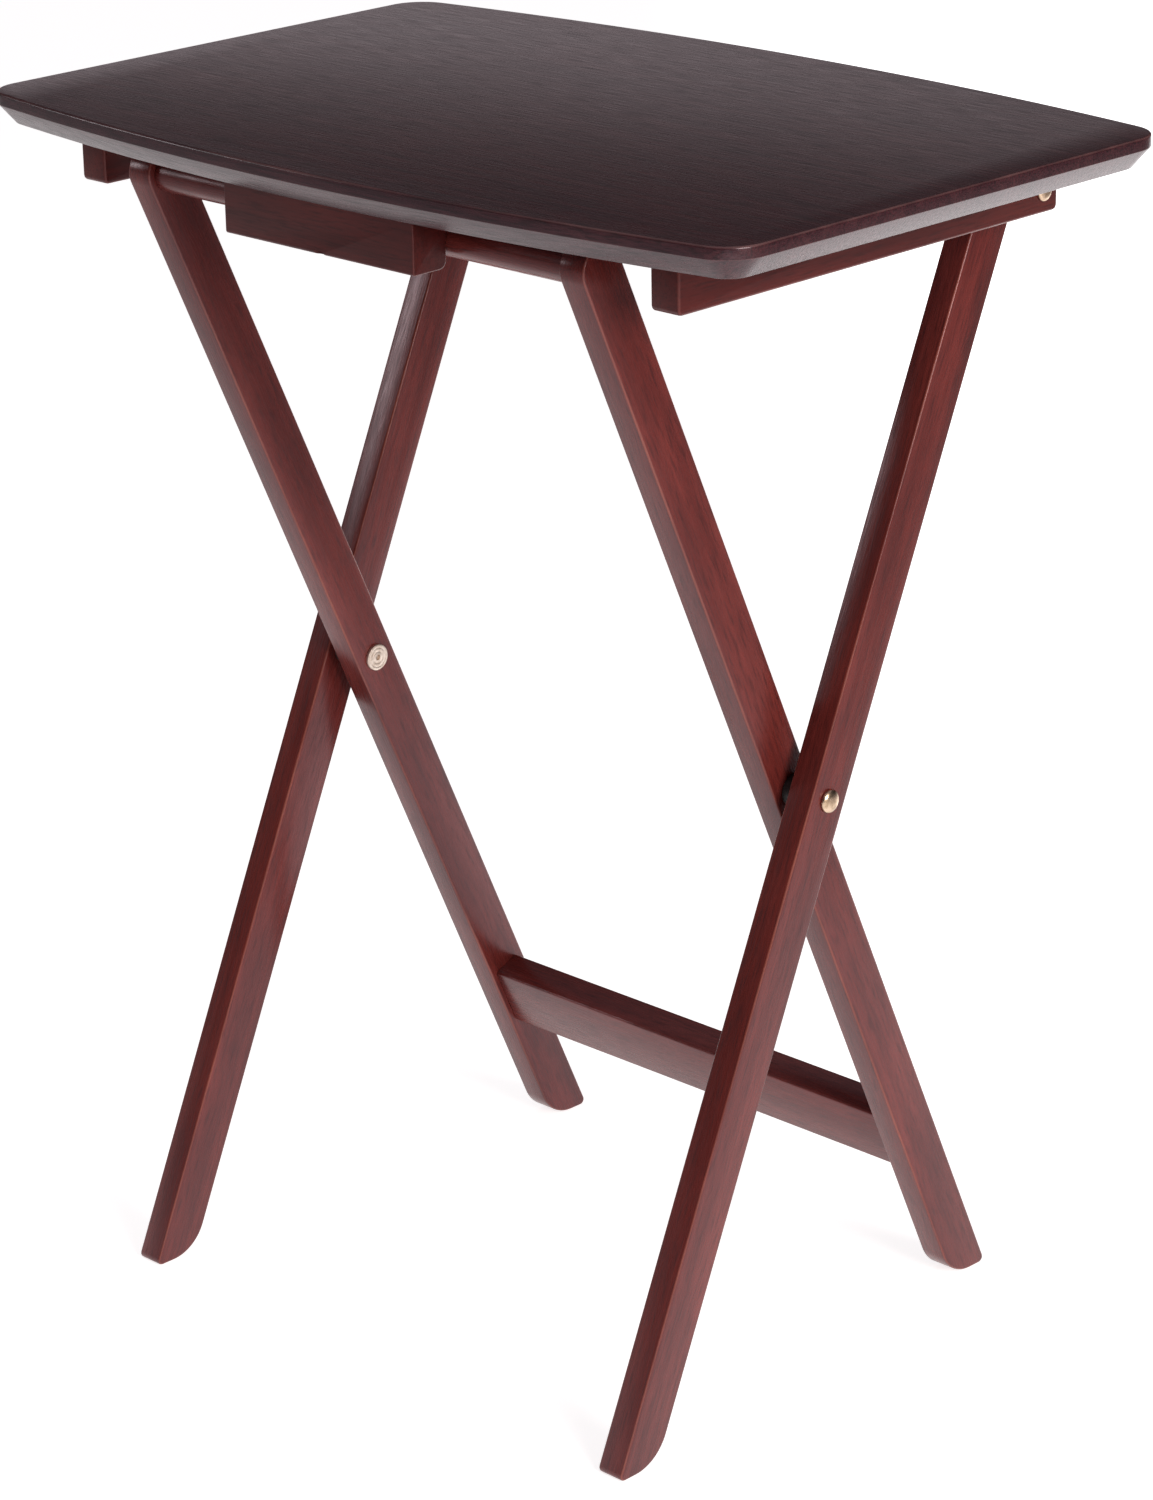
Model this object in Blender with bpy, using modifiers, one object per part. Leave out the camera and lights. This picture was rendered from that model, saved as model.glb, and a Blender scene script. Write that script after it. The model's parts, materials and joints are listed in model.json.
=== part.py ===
"""A folding tray table in solid wood: a bowed top on two pairs of crossed legs.

Metres, +Z up, the front of the table towards -Y. The outer legs stand with their
feet at the front and hold the top on two pivot bolts at the back. The inner legs
cross them and carry the front of the top on a round rail.
"""
import math

import bmesh
import bpy
from mathutils import Matrix, Vector

# Whole table
HEIGHT = 0.660
TOP_WIDTH = 0.540
TOP_END_DEPTH = 0.316
TOP_MIDDLE_DEPTH = 0.362
TOP_CORNER_RADIUS = 0.022
TOP_THICKNESS = 0.0175
TOP_BAND = 0.0062
TOP_UNDERCUT = 0.0094
TOP_EASING = 0.0007

# Cleats under the ends of the top
CLEAT_OUTSIDE_X = 0.2160
CLEAT_THICKNESS = 0.0185
CLEAT_DEPTH_FRONT = -0.1385
CLEAT_DEPTH_BACK = 0.1410
CLEAT_HEIGHT = 0.0268

# Legs: flat bars with the narrow side to the front
LEG_THICKNESS = 0.0165
LEG_WIDTH = 0.0265
LEG_LEAN = math.radians(24.0)
LEG_GAP = 0.0080
LEG_EDGE = 0.0012
HEEL_RADIUS = 0.025
TOE_RADIUS = 0.003

# Crossing of the legs, seen from the side
CROSS_Y = -0.003
CROSS_Z = 0.329

# Small clearances
SLIP = 0.0003
RAIL_DROP = 0.0005

# Round rail and its tenons
RAIL_RADIUS = 0.0095
TENON_RADIUS = 0.006
TENON_LENGTH = 0.010

# Flat stretcher low at the back
STRETCHER_HEIGHT = 0.0385
STRETCHER_THICKNESS = 0.018
STRETCHER_SETBACK = 0.0035
STRETCHER_BELOW_CROSS = 0.2367
PIN_RADIUS = 0.004
PIN_LENGTH = 0.024
PIN_SPREAD = 0.0105

# Latch block in front of the round rail
BLOCK_WIDTH = 0.137
BLOCK_FRONT = -0.1685
BLOCK_LOWER_BACK = 0.0003
BLOCK_UPPER_BACK = 0.0040
BLOCK_HEIGHT = 0.0262

# Bolts and nuts
BOLT_RADIUS = 0.003
CROSS_HEAD_RADIUS = 0.00625
CROSS_HEAD_HEIGHT = 0.0032
CROSS_NUT_RADIUS = 0.0075
TOP_HEAD_RADIUS = 0.005
TOP_HEAD_HEIGHT = 0.0026
TOP_NUT_RADIUS = 0.0065
NUT_FLANGE = 0.0017
NUT_SLEEVE_RADIUS = 0.0046
NUT_SLEEVE_LENGTH = 0.0125
SPACER_RADIUS = 0.009

# Wood screws that hold the cleats and the block
SCREW_LENGTH = 0.030
SCREW_RADIUS = 0.002
SCREW_HEAD_RADIUS = 0.0038
SCREW_HEAD_HEIGHT = 0.0024
SCREW_RECESS = 0.0065
CLEAT_SCREW_Y = (-0.112, -0.010, 0.092)
BLOCK_SCREW_X = (-0.045, 0.045)

# Values that follow from the ones above
UNDERSIDE = HEIGHT - TOP_THICKNESS
CLEAT_TOP = UNDERSIDE - SLIP
CLEAT_BOTTOM = CLEAT_TOP - CLEAT_HEIGHT
CLEAT_X = CLEAT_OUTSIDE_X - CLEAT_THICKNESS / 2
OUTER_LEG_X = CLEAT_OUTSIDE_X - CLEAT_THICKNESS - LEG_GAP - LEG_THICKNESS / 2
INNER_LEG_X = OUTER_LEG_X - LEG_THICKNESS - LEG_GAP
TOP_PIVOT_Z = 0.6268
TOP_PIVOT_REACH = (TOP_PIVOT_Z - CROSS_Z) / math.cos(LEG_LEAN)
TOP_PIVOT_Y = CROSS_Y + TOP_PIVOT_REACH * math.sin(LEG_LEAN)
RAIL_Z = UNDERSIDE - RAIL_DROP - LEG_WIDTH / 2
RAIL_REACH = (RAIL_Z - CROSS_Z) / math.cos(LEG_LEAN)
RAIL_Y = CROSS_Y - RAIL_REACH * math.sin(LEG_LEAN)

CROSS = Vector((0, CROSS_Y, CROSS_Z))
TOP_PIVOT = Vector((0, TOP_PIVOT_Y, TOP_PIVOT_Z))
ROUND_STEPS = 24


def clear_scene():
    """Empties the scene, so that the table is built in a clean file."""
    for old in list(bpy.data.objects):
        bpy.data.objects.remove(old, do_unlink=True)


def make_collection(name):
    """Adds a collection to the scene."""
    made = bpy.data.collections.new(name)
    bpy.context.scene.collection.children.link(made)
    return made


def make_material(name, colour, roughness, metallic):
    """A plain Principled material."""
    material = bpy.data.materials.new(name)
    material.use_nodes = True
    shader = material.node_tree.nodes["Principled BSDF"]
    shader.inputs["Base Color"].default_value = (*colour, 1.0)
    shader.inputs["Roughness"].default_value = roughness
    shader.inputs["Metallic"].default_value = metallic
    material.diffuse_color = (*colour, 1.0)
    return material


def make_pivot(name, location):
    """An empty on a hinge line, which the moving pieces hang from."""
    pivot = bpy.data.objects.new(name, None)
    pivot.empty_display_size = 0.03
    pivot.location = location
    table.objects.link(pivot)
    return pivot


def place(piece, pivot, location, turn_x=0.0):
    """Hangs a piece from a pivot, at a place given in the table's own frame."""
    piece.parent = pivot
    piece.location = Vector(location) - pivot.location
    piece.rotation_euler = (turn_x, 0, 0)


def finish_mesh(name, mesh, material, smooth_angle=35):
    """Makes an object of a mesh, with soft shading across its shallow edges."""
    mesh.name = name
    mesh.materials.clear()
    mesh.materials.append(material)
    for face in mesh.polygons:
        face.material_index = 0
    mesh.shade_smooth()
    mesh.set_sharp_from_angle(angle=math.radians(smooth_angle))
    piece = bpy.data.objects.new(name, mesh)
    table.objects.link(piece)
    return piece


def rounded_outline(corners):
    """Points round a closed outline. Each corner is (a, b, radius, steps)."""
    points = []
    count = len(corners)
    for index, (a, b, radius, steps) in enumerate(corners):
        here = Vector((a, b))
        before = (Vector(corners[index - 1][:2]) - here).normalized()
        after = (Vector(corners[(index + 1) % count][:2]) - here).normalized()
        if radius == 0:
            points.append(here)
            continue
        half = before.angle(after) / 2
        reach = radius / math.tan(half)
        centre = here + (before + after).normalized() * (radius / math.sin(half))
        start = here + before * reach - centre
        end = here + after * reach - centre
        sweep = start.angle_signed(end)
        for step in range(steps + 1):
            turn = Matrix.Rotation(-sweep * step / steps, 2)
            points.append(centre + turn @ start)
    return points


def slab_mesh(points, thickness, edge=0.0):
    """A flat slab of a closed outline in XY, centred on z = 0, edges rounded by edge."""
    curve = bpy.data.curves.new("outline", "CURVE")
    curve.dimensions = "2D"
    curve.fill_mode = "BOTH"
    curve.extrude = thickness / 2 - edge
    curve.bevel_depth = edge
    curve.bevel_resolution = 1
    curve.offset = -edge
    spline = curve.splines.new("POLY")
    spline.points.add(len(points) - 1)
    for target, (a, b) in zip(spline.points, points):
        target.co = (a, b, 0, 1)
    spline.use_cyclic_u = True
    holder = bpy.data.objects.new("outline", curve)
    table.objects.link(holder)
    bpy.context.view_layer.update()
    graph = bpy.context.evaluated_depsgraph_get()
    mesh = bpy.data.meshes.new_from_object(holder.evaluated_get(graph))
    bpy.data.objects.remove(holder, do_unlink=True)
    shape = bmesh.new()
    shape.from_mesh(mesh)
    bmesh.ops.remove_doubles(shape, verts=shape.verts, dist=0.00002)
    bmesh.ops.dissolve_limit(
        shape, angle_limit=math.radians(0.5), verts=shape.verts, edges=shape.edges
    )
    bmesh.ops.recalc_face_normals(shape, faces=shape.faces)
    shape.to_mesh(mesh)
    shape.free()
    return mesh


def turned_piece(name, profile, material, steps=ROUND_STEPS, ring=False):
    """A turned piece round its own Z axis. The profile runs from the top down, and a ring's closes."""
    mesh = bpy.data.meshes.new(name)
    shape = bmesh.new()
    row = [shape.verts.new((radius, 0, height)) for radius, height in profile]
    for first, second in zip(row, row[1:]):
        shape.edges.new((first, second))
    if ring:
        shape.edges.new((row[-1], row[0]))
    shape.to_mesh(mesh)
    shape.free()
    piece = finish_mesh(name, mesh, material)
    screw = piece.modifiers.new("turn", "SCREW")
    screw.axis = "Z"
    screw.angle = math.radians(360)
    screw.steps = steps
    screw.render_steps = steps
    screw.use_merge_vertices = True
    screw.merge_threshold = 0.00001
    screw.use_smooth_shade = True
    return piece


def box_piece(name, size, material, edge):
    """A block with softened edges, centred on its own origin."""
    mesh = bpy.data.meshes.new(name)
    shape = bmesh.new()
    bmesh.ops.create_cube(shape, size=1.0)
    bmesh.ops.scale(shape, vec=size, verts=shape.verts)
    shape.to_mesh(mesh)
    shape.free()
    piece = finish_mesh(name, mesh, material)
    bevel = piece.modifiers.new("soft edges", "BEVEL")
    bevel.width = edge
    bevel.segments = 2
    bevel.limit_method = "ANGLE"
    return piece


def hide_cutter(cutter):
    """Moves a cutting body to the cutters, where it isn't part of the table."""
    for home in list(cutter.users_collection):
        home.objects.unlink(cutter)
    cutters.objects.link(cutter)
    cutter.hide_render = True
    cutter.display_type = "WIRE"
    return cutter


def bore(radius, start, end, steps=ROUND_STEPS):
    """A round cutter from start to end, given in the table's own frame."""
    start, end = Vector(start), Vector(end)
    mesh = bpy.data.meshes.new("bore")
    shape = bmesh.new()
    bmesh.ops.create_cone(
        shape,
        cap_ends=True,
        segments=steps,
        radius1=radius,
        radius2=radius,
        depth=(end - start).length,
    )
    shape.to_mesh(mesh)
    shape.free()
    cutter = bpy.data.objects.new("bore", mesh)
    cutter.location = (start + end) / 2
    cutter.rotation_euler = (end - start).to_track_quat("Z", "Y").to_euler()
    return hide_cutter(cutter)


def cut(piece, cutter):
    """Takes a cutter's volume out of a piece."""
    boolean = piece.modifiers.new("cut", "BOOLEAN")
    boolean.operation = "DIFFERENCE"
    boolean.solver = "EXACT"
    boolean.object = cutter


def leg_point(kind, along, across, x=0.0):
    """A point on a leg, in the table's frame: along it from the crossing, and towards the back."""
    lean = LEG_LEAN if kind == "inner" else -LEG_LEAN
    return CROSS + Matrix.Rotation(lean, 3, "X") @ Vector((x, across, along))


def dome_profile(radius, height, shank, depth):
    """A domed bolt head above z = 0, and its shank down to -depth."""
    points = []
    for step in range(7):
        turn = math.radians(90 * step / 6)
        points.append((radius * math.sin(turn), height * (0.22 + 0.78 * math.cos(turn))))
    points[0] = (0, height)
    points.append((radius, 0))
    points.append((shank, 0))
    points.append((shank, -depth + 0.0005))
    points.append((shank - 0.0005, -depth))
    points.append((0, -depth))
    return points


def nut_profile(radius, sleeve, bore_radius, length):
    """A flanged nut: the flange above z = 0, and a sleeve below it, bored from its end."""
    return [
        (0, NUT_FLANGE),
        (radius - 0.0005, NUT_FLANGE),
        (radius, NUT_FLANGE - 0.0005),
        (radius, 0),
        (sleeve, 0),
        (sleeve, -length),
        (bore_radius, -length),
        (bore_radius, -0.001),
        (0, -0.001),
    ]


clear_scene()
table = make_collection("folding_tray_table")
cutters = make_collection("cutters")

top_stain = make_material("dark_stained_wood", (0.022, 0.013, 0.013), 0.32, 0.0)
frame_stain = make_material("red_brown_stained_wood", (0.095, 0.026, 0.020), 0.36, 0.0)
pale_dowel = make_material("plain_beech", (0.50, 0.34, 0.20), 0.60, 0.0)
brass = make_material("pale_brass", (0.72, 0.56, 0.38), 0.28, 1.0)
steel = make_material("zinc_plated_steel", (0.55, 0.55, 0.56), 0.35, 1.0)
nylon = make_material("black_nylon", (0.02, 0.02, 0.02), 0.50, 0.0)

outer_pivot = make_pivot("outer_legs_pivot", CROSS)
inner_pivot = make_pivot("inner_legs_pivot", CROSS)
bolt_pivot = make_pivot("top_bolts_pivot", TOP_PIVOT)
top_pivot = make_pivot("top_pivot", TOP_PIVOT)


def top_outline():
    """Bowed long sides, straight short sides, and corners that run into both."""
    half = TOP_WIDTH / 2
    rise = (TOP_MIDDLE_DEPTH - TOP_END_DEPTH) / 2
    sweep = (half**2 + rise**2) / (2 * rise)
    hub = TOP_MIDDLE_DEPTH / 2 - sweep
    side_x = half - TOP_CORNER_RADIUS
    corner_y = hub + math.sqrt((sweep - TOP_CORNER_RADIUS) ** 2 - side_x**2)
    limit = math.asin(side_x / (sweep - TOP_CORNER_RADIUS))
    quarter = []
    for step in range(13):
        turn = limit * step / 12
        quarter.append(Vector((sweep * math.sin(turn), hub + sweep * math.cos(turn))))
    corner_sweep = math.radians(90) - limit
    for step in range(1, 9):
        turn = corner_sweep * (1 - step / 8)
        quarter.append(
            Vector((side_x, corner_y))
            + TOP_CORNER_RADIUS * Vector((math.cos(turn), math.sin(turn)))
        )
    right = quarter + [Vector((p.x, -p.y)) for p in reversed(quarter)]
    left = [Vector((-p.x, p.y)) for p in reversed(right)]
    return right + left[1:-1]


def build_top():
    """The board: an upright band above a wide undercut, and a fine easing on its upper rim."""
    mesh = slab_mesh(top_outline(), TOP_BAND)
    shape = bmesh.new()
    shape.from_mesh(mesh)
    upper = [face for face in shape.faces if face.normal.z > 0.9]
    bmesh.ops.translate(
        shape, vec=(0, 0, -TOP_EASING), verts=list({v for face in upper for v in face.verts})
    )
    bmesh.ops.inset_region(shape, faces=upper, thickness=TOP_EASING, depth=TOP_EASING)
    lower = [face for face in shape.faces if face.normal.z < -0.9]
    bmesh.ops.inset_region(
        shape, faces=lower, thickness=TOP_UNDERCUT, depth=TOP_THICKNESS - TOP_BAND
    )
    shape.to_mesh(mesh)
    shape.free()
    board = finish_mesh("table_top", mesh, top_stain, 20)
    place(board, top_pivot, (0, 0, HEIGHT - TOP_BAND / 2))
    return board


def build_cleat(side, name):
    """A rail under one end of the top, bored for the pivot bolt near its back end."""
    depth = CLEAT_DEPTH_BACK - CLEAT_DEPTH_FRONT
    cleat = box_piece(name, (CLEAT_THICKNESS, depth, CLEAT_HEIGHT), frame_stain, 0.0016)
    middle = (CLEAT_DEPTH_BACK + CLEAT_DEPTH_FRONT) / 2
    place(cleat, top_pivot, (side * CLEAT_X, middle, CLEAT_TOP - CLEAT_HEIGHT / 2))
    hole_start = (side * (CLEAT_X - 0.02), TOP_PIVOT_Y, TOP_PIVOT_Z)
    hole_end = (side * (CLEAT_X + 0.02), TOP_PIVOT_Y, TOP_PIVOT_Z)
    cut(cleat, bore(BOLT_RADIUS + SLIP, hole_start, hole_end))
    return cleat


def build_block():
    """The latch block: its back is hollowed over the round rail, so the rail can't run forward."""
    bottom = CLEAT_TOP - BLOCK_HEIGHT
    rail_front = RAIL_Y - RAIL_RADIUS - BLOCK_LOWER_BACK
    hollow = RAIL_RADIUS + BLOCK_LOWER_BACK
    outline = rounded_outline(
        [
            (BLOCK_FRONT, CLEAT_TOP, 0, 0),
            (BLOCK_FRONT, bottom, 0.0012, 2),
            (rail_front, bottom, 0.004, 5),
            (rail_front, RAIL_Z, 0, 0),
        ]
    )
    reach = RAIL_Y - (rail_front + BLOCK_UPPER_BACK)
    last = math.acos(reach / hollow)
    for step in range(1, 7):
        turn = last * step / 6
        outline.append(
            Vector((RAIL_Y - hollow * math.cos(turn), RAIL_Z + hollow * math.sin(turn)))
        )
    outline.append(Vector((rail_front + BLOCK_UPPER_BACK, CLEAT_TOP)))
    mesh = slab_mesh(outline, BLOCK_WIDTH, 0.0008)
    mesh.transform(Matrix(((0, 0, 1, 0), (1, 0, 0, 0), (0, 1, 0, 0), (0, 0, 0, 1))))
    block = finish_mesh("latch_block", mesh, frame_stain)
    place(block, top_pivot, (0, 0, 0))
    return block


def build_screw(name, x, y, bottom, wood):
    """A wood screw up into the top, sunk in the piece that it holds."""
    head_base = SCREW_RECESS + SCREW_HEAD_HEIGHT
    profile = [
        (0, SCREW_HEAD_HEIGHT),
        (SCREW_HEAD_RADIUS * 0.6, SCREW_HEAD_HEIGHT * 0.92),
        (SCREW_HEAD_RADIUS * 0.92, SCREW_HEAD_HEIGHT * 0.55),
        (SCREW_HEAD_RADIUS, 0),
        (SCREW_RADIUS, 0),
        (SCREW_RADIUS, -SCREW_LENGTH + 0.005),
        (0, -SCREW_LENGTH),
    ]
    screw = turned_piece(name, profile, steel, 20)
    base = bottom + head_base
    place(screw, top_pivot, (x, y, base), math.pi)
    drive = bore(0.0013, (x, y, bottom), (x, y, base - SCREW_HEAD_HEIGHT + 0.0015), 4)
    cut(screw, drive)
    cut(wood, bore(SCREW_HEAD_RADIUS + SLIP, (x, y, bottom - 0.01), (x, y, base + SLIP), 20))
    hole = bore(SCREW_RADIUS + SLIP, (x, y, base - 0.001), (x, y, base + SCREW_LENGTH + SLIP), 20)
    cut(wood, hole)
    cut(top_board, hole)
    return screw


def build_leg(kind, side, name):
    """A leg: round at its upper end, and cut to the floor with a large radius at the heel."""
    lean = LEG_LEAN if kind == "inner" else -LEG_LEAN
    reach = RAIL_REACH if kind == "inner" else TOP_PIVOT_REACH
    half = LEG_WIDTH / 2
    x = side * (INNER_LEG_X if kind == "inner" else OUTER_LEG_X)

    def floor(across):
        return -(CROSS_Z + across * math.sin(lean)) / math.cos(lean)

    back_radius = HEEL_RADIUS if kind == "outer" else TOE_RADIUS
    front_radius = TOE_RADIUS if kind == "outer" else HEEL_RADIUS
    outline = rounded_outline(
        [
            (half, reach + half, half - 0.0004, 12),
            (-half, reach + half, half - 0.0004, 12),
            (-half, floor(-half), front_radius, 8),
            (half, floor(half), back_radius, 8),
        ]
    )
    mesh = slab_mesh(outline, LEG_THICKNESS, LEG_EDGE)
    mesh.transform(Matrix(((0, 0, 1, 0), (1, 0, 0, 0), (0, 1, 0, 0), (0, 0, 0, 1))))
    leg = finish_mesh(name, mesh, frame_stain)
    pivot = inner_pivot if kind == "inner" else outer_pivot
    place(leg, pivot, CROSS + Vector((x, 0, 0)), lean)
    cross_hole = NUT_SLEEVE_RADIUS if kind == "inner" else BOLT_RADIUS
    cut(leg, bore(cross_hole + SLIP, CROSS + Vector((x - 0.02, 0, 0)), CROSS + Vector((x + 0.02, 0, 0))))
    if kind == "outer":
        start = TOP_PIVOT + Vector((x - 0.02, 0, 0))
        cut(leg, bore(NUT_SLEEVE_RADIUS + SLIP, start, start + Vector((0.04, 0, 0))))
        return leg
    inside = side * (INNER_LEG_X - LEG_THICKNESS / 2)
    outward = Vector((side, 0, 0))
    rail = leg_point("inner", RAIL_REACH, 0, inside)
    cut(leg, bore(TENON_RADIUS + SLIP, rail - outward * 0.01, rail + outward * (TENON_LENGTH + SLIP)))
    for place_along in stretcher_pins():
        hole = leg_point("inner", place_along, stretcher_across(), inside)
        deep = outward * (PIN_LENGTH / 2 + SLIP)
        cut(leg, bore(PIN_RADIUS + SLIP, hole - outward * 0.01, hole + deep, 16))
    return leg


def stretcher_across():
    """How far the stretcher's middle is towards the back of the inner legs' centre line."""
    return -LEG_WIDTH / 2 + STRETCHER_SETBACK + STRETCHER_THICKNESS / 2


def stretcher_pins():
    """The two heights of the dowel pins, along the inner legs."""
    middle = -STRETCHER_BELOW_CROSS - STRETCHER_HEIGHT / 2
    return (middle - PIN_SPREAD, middle + PIN_SPREAD)


def build_stretcher():
    """The flat bar between the inner legs, square to them."""
    length = 2 * (INNER_LEG_X - LEG_THICKNESS / 2 - SLIP)
    size = (length, STRETCHER_THICKNESS, STRETCHER_HEIGHT)
    bar = box_piece("back_stretcher", size, frame_stain, 0.0012)
    middle = -STRETCHER_BELOW_CROSS - STRETCHER_HEIGHT / 2
    place(bar, inner_pivot, leg_point("inner", middle, stretcher_across()), LEG_LEAN)
    for side in (-1, 1):
        for along in stretcher_pins():
            end = leg_point("inner", along, stretcher_across(), side * length / 2)
            outward = Vector((side, 0, 0))
            deep = outward * (PIN_LENGTH / 2 + SLIP)
            cut(bar, bore(PIN_RADIUS + SLIP, end + outward * 0.01, end - deep, 16))
    return bar


def build_pins():
    """Four dowel pins, two in each end of the stretcher."""
    bevel_end = 0.0006
    half = PIN_LENGTH / 2
    profile = [
        (0, half),
        (PIN_RADIUS - bevel_end, half),
        (PIN_RADIUS, half - bevel_end),
        (PIN_RADIUS, -half + bevel_end),
        (PIN_RADIUS - bevel_end, -half),
        (0, -half),
    ]
    for side, side_name in ((-1, "left"), (1, "right")):
        for along, level in zip(stretcher_pins(), ("lower", "upper")):
            pin = turned_piece(f"stretcher_pin_{side_name}_{level}", profile, pale_dowel, 16)
            seam = side * (INNER_LEG_X - LEG_THICKNESS / 2 - SLIP / 2)
            place(pin, inner_pivot, leg_point("inner", along, stretcher_across(), seam))
            pin.rotation_euler = (0, math.radians(90), 0)


def build_rail():
    """The turned rail between the tops of the inner legs, with a tenon on each end."""
    shoulder = INNER_LEG_X - LEG_THICKNESS / 2 - SLIP
    tip = shoulder + TENON_LENGTH
    profile = [
        (0, tip),
        (TENON_RADIUS - 0.0006, tip),
        (TENON_RADIUS, tip - 0.0006),
        (TENON_RADIUS, shoulder),
        (RAIL_RADIUS, shoulder),
        (RAIL_RADIUS, -shoulder),
        (TENON_RADIUS, -shoulder),
        (TENON_RADIUS, -tip + 0.0006),
        (TENON_RADIUS - 0.0006, -tip),
        (0, -tip),
    ]
    rail = turned_piece("round_front_rail", profile, frame_stain)
    place(rail, inner_pivot, (0, RAIL_Y, RAIL_Z))
    rail.rotation_euler = (0, math.radians(90), 0)
    return rail


def build_pivot_hardware():
    """Each pivot has a domed bolt, a flanged nut with a sleeve, and a spacer between the bars."""
    outside_leg = OUTER_LEG_X + LEG_THICKNESS / 2
    inside_leg = INNER_LEG_X - LEG_THICKNESS / 2
    inside_outer = OUTER_LEG_X - LEG_THICKNESS / 2
    spacer_half = LEG_GAP / 2 - SLIP
    spacer_profile = [
        (SPACER_RADIUS - 0.0006, spacer_half),
        (SPACER_RADIUS, spacer_half - 0.0006),
        (SPACER_RADIUS, -spacer_half + 0.0006),
        (SPACER_RADIUS - 0.0006, -spacer_half),
        (BOLT_RADIUS + SLIP, -spacer_half),
        (BOLT_RADIUS + SLIP, spacer_half),
    ]
    cross_head = dome_profile(CROSS_HEAD_RADIUS, CROSS_HEAD_HEIGHT, BOLT_RADIUS, 0.036)
    top_head = dome_profile(TOP_HEAD_RADIUS, TOP_HEAD_HEIGHT, BOLT_RADIUS, 0.037)
    bolt_bore = BOLT_RADIUS + SLIP
    cross_nut = nut_profile(CROSS_NUT_RADIUS, NUT_SLEEVE_RADIUS, bolt_bore, NUT_SLEEVE_LENGTH)
    top_nut = nut_profile(TOP_NUT_RADIUS, NUT_SLEEVE_RADIUS, bolt_bore, NUT_SLEEVE_LENGTH)
    jobs = (
        ("leg", inner_pivot, CROSS, outside_leg, inside_leg, cross_head, cross_nut),
        ("top", bolt_pivot, TOP_PIVOT, CLEAT_OUTSIDE_X, inside_outer, top_head, top_nut),
    )
    for side, side_name in ((-1, "left"), (1, "right")):
        outward = math.radians(90) * side
        for word, pivot, hub, outside, inside, head, nut in jobs:
            bolt = turned_piece(f"{word}_pivot_bolt_{side_name}", head, brass)
            place(bolt, pivot, hub + Vector((side * (outside + SLIP), 0, 0)))
            bolt.rotation_euler = (0, outward, 0)
            cap = turned_piece(f"{word}_pivot_nut_{side_name}", nut, brass)
            place(cap, pivot, hub + Vector((side * (inside - SLIP), 0, 0)))
            cap.rotation_euler = (0, -outward, 0)
            slot_x = side * (inside - SLIP - NUT_FLANGE)
            start = hub + Vector((slot_x - side * 0.002, 0, 0))
            cut(cap, bore(0.0018, start, hub + Vector((slot_x + side * 0.0014, 0, 0)), 6))
            gap_middle = outside - LEG_THICKNESS - LEG_GAP / 2
            if word == "top":
                gap_middle = outside - CLEAT_THICKNESS - LEG_GAP / 2
            ring = turned_piece(f"{word}_pivot_spacer_{side_name}", spacer_profile, nylon, ring=True)
            place(ring, pivot, hub + Vector((side * gap_middle, 0, 0)))
            ring.rotation_euler = (0, outward, 0)


top_board = build_top()
for side, side_name in ((-1, "left"), (1, "right")):
    cleat = build_cleat(side, f"{side_name}_cleat")
    for number, screw_y in enumerate(CLEAT_SCREW_Y, 1):
        screw_name = f"{side_name}_cleat_screw_{number}"
        build_screw(screw_name, side * CLEAT_X, screw_y, CLEAT_BOTTOM, cleat)
    build_leg("outer", side, f"outer_leg_{side_name}")
    build_leg("inner", side, f"inner_leg_{side_name}")
latch_block = build_block()
block_middle = (BLOCK_FRONT + RAIL_Y - RAIL_RADIUS) / 2
for number, screw_x in enumerate(BLOCK_SCREW_X, 1):
    screw_bottom = CLEAT_TOP - BLOCK_HEIGHT
    build_screw(f"latch_block_screw_{number}", screw_x, block_middle, screw_bottom, latch_block)
build_stretcher()
build_pins()
build_rail()
build_pivot_hardware()
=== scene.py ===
# %% [markdown]
# # A folding tray table, finished
#
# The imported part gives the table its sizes, its places and its joints. This lesson keeps those
# and makes what a person sees: boards and bars with eased arrises, stain under satin lacquer,
# and small plated fittings. Every length is in metres, +Z is up and the front faces -Y.

# %% Load the fixed frame
import json
import math

import bmesh
import bpy
import numpy as np
from mathutils import Matrix, Vector


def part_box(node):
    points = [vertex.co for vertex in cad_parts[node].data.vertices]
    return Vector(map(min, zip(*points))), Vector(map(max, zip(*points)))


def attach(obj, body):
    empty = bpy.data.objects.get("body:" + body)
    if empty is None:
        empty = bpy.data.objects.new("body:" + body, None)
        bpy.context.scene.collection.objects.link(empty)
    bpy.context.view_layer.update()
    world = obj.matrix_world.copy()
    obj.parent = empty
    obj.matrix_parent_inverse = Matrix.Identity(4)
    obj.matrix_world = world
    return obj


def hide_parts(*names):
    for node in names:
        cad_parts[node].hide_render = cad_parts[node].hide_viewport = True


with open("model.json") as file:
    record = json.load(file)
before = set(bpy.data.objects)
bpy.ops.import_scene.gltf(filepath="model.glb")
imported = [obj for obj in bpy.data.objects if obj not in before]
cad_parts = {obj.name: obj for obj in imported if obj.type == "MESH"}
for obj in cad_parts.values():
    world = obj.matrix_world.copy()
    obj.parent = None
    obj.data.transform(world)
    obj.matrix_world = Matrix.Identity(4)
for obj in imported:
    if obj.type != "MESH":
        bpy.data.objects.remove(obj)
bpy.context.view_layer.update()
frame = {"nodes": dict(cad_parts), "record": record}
joints = {joint["name"]: joint for joint in frame["record"]["behaviour"]["joints"]}

# %% [markdown]
# ## Camera
#
# A long lens from the front right, a little above the top. It could be aimed by a Track To
# constraint, but a rotation worked out from an azimuth, an elevation and a small roll says
# plainly where the camera stands, and other views can replace it.

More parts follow.
